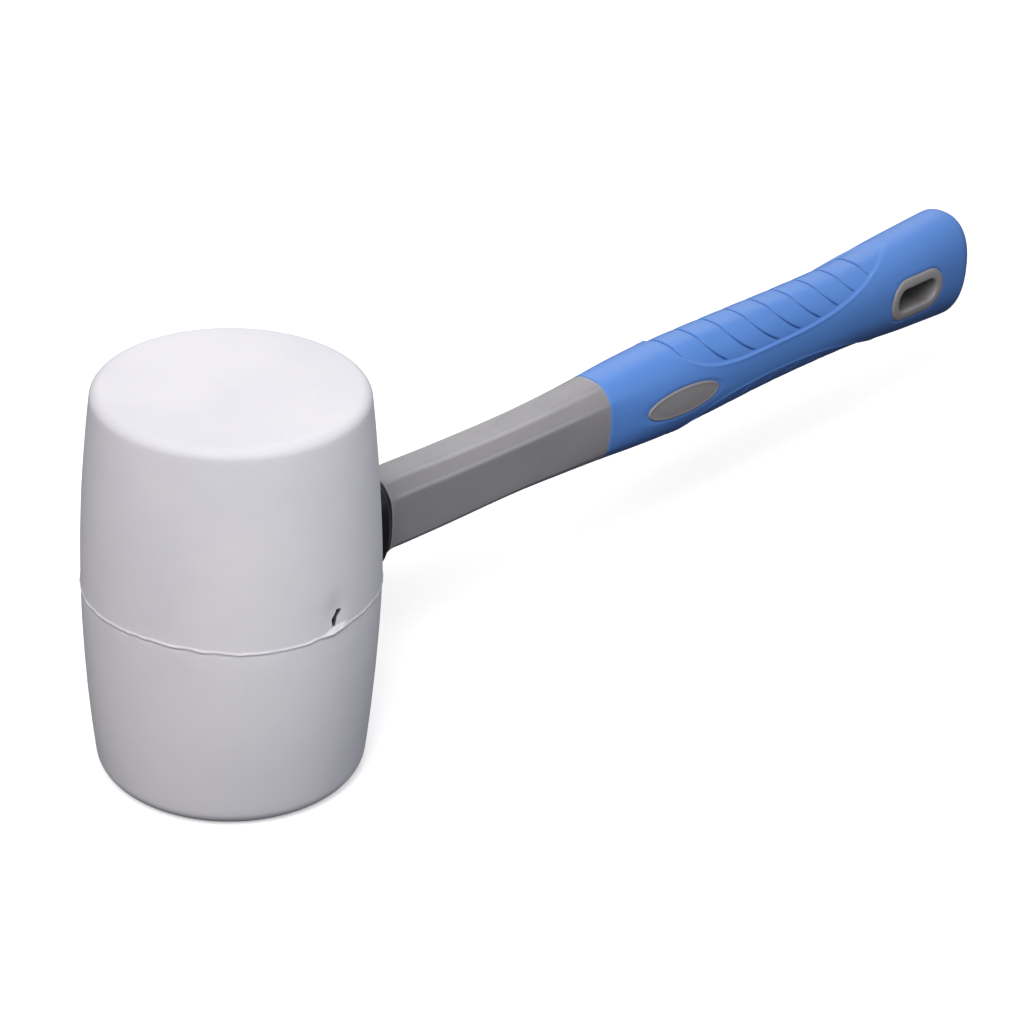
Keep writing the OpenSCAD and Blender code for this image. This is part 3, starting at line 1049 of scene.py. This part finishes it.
def makeGrip():
    rounding = grip["edgeRounding"]
    runs = gripRuns()
    # degrees from the nearer spine
    spine = np.degrees(np.abs(np.angle(np.exp(1j * (turns * 2 - math.pi))))) / 2
    sweep = grip["sweep"] * (np.minimum(spine, 84) / 60) ** 3
    fade = (smooth(runs, gripEdge + 8, grip["firstGroove"] - 4)
            * smooth(-runs, -domeStart + 4, -grip["panelRear"] + 14))
    x = runs[:, None] + sweep[None, :] * fade[:, None]
    outer = sectionPoints(x, turns[None, :])
    swing = np.linspace(0, math.pi / 2, 6)
    edge = ringsAlong(gripEdge + rounding * (1 - np.sin(swing)),
                      rounding * (np.cos(swing) - 1) + grip["edgeStand"])[::-1]
    dome = domeRings(domeLength, 0.0, 26)
    wallPlaces = [*np.linspace(domeStart, gripEdge + 1, 26), gripEdge]
    inner = ringsAlong(wallPlaces, [-gripWall + 0.02] * len(wallPlaces))
    innerDome = domeRings(domeLength / 3 + 0.02, -gripWall + 0.02, 10)[::-1]
    rings = np.concatenate([innerDome, inner, edge, outer, dome])
    piece = loftPiece("softGrip", rings)

    firstOuter = len(innerDome) + len(inner)
    firstRun = firstOuter + len(edge)
    shape = rings.shape[:2]
    skin = np.zeros(shape)
    skin[firstOuter + 3:] = 1
    run = np.zeros(shape)
    run[firstRun:firstRun + len(runs)] = runs[:, None]
    run[firstRun + len(runs):] = domeStart
    lean = 3 * grip["sweep"] / 60 * (np.minimum(spine, 84) / 60) ** 2
    lean /= np.radians(grip["grooveGirth"])
    slant = np.broadcast_to(1 / np.sqrt(1 + lean ** 2), shape)
    px = rings[..., 0]
    border = panelReach(px)
    gradient = (panelReach(px + 0.05) - panelReach(px - 0.05)) / 0.1
    perDegree = math.radians(grip["girth"])
    inside = (border - spine[None, :]) * perDegree / np.sqrt(1 + (gradient * perDegree) ** 2)
    inside = np.where(border > 0, inside, -20)
    near = windowDistance(px, rings[..., 2] - axisHeight)
    count = len(piece.data.vertices) - run.size
    for label, values, end in (("run", run, domeStart), ("slant", slant, 1), ("skin", skin, 0),
                               ("inside", np.clip(inside, -20, 20), -20), ("nearWindow", near, 9),
                               ("spine", np.broadcast_to(spine, shape), 90)):
        storeValue(piece, label, np.concatenate([values.ravel(), np.full(count, end)]))
    runTree(piece, makeGripTree(), gripSizes, blueGrip)

    pads = crossBar("padCut", padOutline(window["gap"], 160), window["padPlace"])
    combine(piece, pads)
    ring = slotOutline(window["ringWall"] + window["gap"])
    combine(piece, crossBar("ringCut", ring, window["slotPlace"]))
    finishPiece(piece, blueGrip, "soft_grip")


def coverNode(node, material):
    # a CAD node keeps its mesh and gets a better finish
    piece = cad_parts[node]
    piece.data.materials.clear()
    piece.data.materials.append(material)


makeHead()
makeCollar()
makeJacket()
makeGrip()
coverNode("eye_adhesive", makeMaterial("curedAdhesive"))
coverNode("core_rod", makeMaterial("fibreglass"))
coverNode("cross_pin", makeMaterial("pinSteel"))
print("pieces made")


# --- studio: floor, lights, camera

studio = {
    "floorHalf": 1.6,
    "floorSeen": 0.92, "floorGlow": 0.35, "floorBounce": (0.09, 0.09, 0.10),
    "skyLight": 0.52, "horizonLight": 0.28,
    # place, what it points at, size, watts, colour, spread in degrees
    "lights": {
        "keyWindow": ((-0.72, -0.48, 1.05), (0.08, 0.0, 0.06), 0.8, 13.6, (1.0, 0.985, 0.985), 180),
        "backPanel": ((1.05, 0.95, 0.95), (0.12, 0.0, 0.05), 1.1, 6.1, (0.98, 0.99, 1.0), 180),
        "rimPanel": ((0.36, -0.74, 0.34), (-0.01, 0.0, 0.06), 0.25, 0.034, (0.78, 0.85, 1.0), 28),
    },
}
cameraSetup = {
    "place": (-0.50577, -0.57235, 0.50694),
    "heading": 42.64,  # degrees from +X towards +Y
    "dip": 29.05,  # degrees below the horizon
    "lean": -2.89,  # turn about the line of sight
    "lens": 109.49,
}


def makeFloor():
    half = studio["floorHalf"]
    mesh = bpy.data.meshes.new("floor")
    corners = [(-half, -half, 0), (half, -half, 0), (half, half, 0), (-half, half, 0)]
    mesh.from_pydata(corners, [], [(0, 1, 2, 3)])
    floor = addObject("floor", mesh)
    material = bpy.data.materials.new("floorPaint")
    material.use_nodes = True
    tree = material.node_tree
    tree.nodes.clear()
    link = tree.links.new
    path = tree.nodes.new("ShaderNodeLightPath")
    seen = tree.nodes.new("ShaderNodeBsdfDiffuse")
    seen.inputs["Color"].default_value = (studio["floorSeen"],) * 3 + (1,)
    glow = tree.nodes.new("ShaderNodeEmission")
    glow.inputs["Strength"].default_value = studio["floorGlow"]
    both = tree.nodes.new("ShaderNodeAddShader")
    link(seen.outputs[0], both.inputs[0])
    link(glow.outputs[0], both.inputs[1])
    bounce = tree.nodes.new("ShaderNodeBsdfDiffuse")
    bounce.inputs["Color"].default_value = (*studio["floorBounce"], 1)
    mix = tree.nodes.new("ShaderNodeMixShader")
    link(path.outputs["Is Camera Ray"], mix.inputs[0])
    link(bounce.outputs[0], mix.inputs[1])
    link(both.outputs[0], mix.inputs[2])
    out = tree.nodes.new("ShaderNodeOutputMaterial")
    link(mix.outputs[0], out.inputs[0])
    mesh.materials.append(material)


def aim(item, target):
    item.rotation_euler = (Vector(target) - item.location).to_track_quat("-Z", "Y").to_euler()


def makeLights():
    for name, (place, target, size, watts, colour, spread) in studio["lights"].items():
        data = bpy.data.lights.new(name, "AREA")
        data.shape = "DISK"
        data.size = size
        data.energy = watts
        data.color = colour
        data.spread = math.radians(spread)
        lamp = addObject(name, data)
        lamp.location = place
        aim(lamp, target)
    world = bpy.data.worlds.new("sky")
    world.use_nodes = True
    tree = world.node_tree
    backdrop = tree.nodes["Background"]
    path = tree.nodes.new("ShaderNodeLightPath")
    place = tree.nodes.new("ShaderNodeTexCoord")
    lift = splitVector(tree, place.outputs["Generated"])[2]
    light = lift.over(-0.05, 0.55, studio["horizonLight"], studio["skyLight"])
    seen = Wire(tree, path.outputs["Is Camera Ray"])
    feed(backdrop.inputs["Strength"], seen.over(0.0, 1.0, light, 1.0))
    backdrop.inputs["Color"].default_value = (1, 1, 1, 1)
    bpy.context.scene.world = world
    bpy.context.scene.view_settings.view_transform = "Standard"


def makeCamera():
    heading, dip, lean = (math.radians(cameraSetup[name]) for name in ("heading", "dip", "lean"))
    forward = Vector((math.cos(heading) * math.cos(dip), math.sin(heading) * math.cos(dip),
                      -math.sin(dip)))
    level = forward.cross(Vector((0, 0, 1))).normalized()
    up = (level.cross(forward) * math.cos(lean) + level * math.sin(lean)).normalized()
    right = forward.cross(up)
    turn = Matrix((right, up, -forward)).transposed().to_4x4()
    data = bpy.data.cameras.new("camera")
    data.lens = cameraSetup["lens"]
    camera = addObject("camera", data)
    camera.matrix_world = Matrix.Translation(cameraSetup["place"]) @ turn
    bpy.context.scene.camera = camera


makeFloor()
makeLights()
makeCamera()
print("studio made")
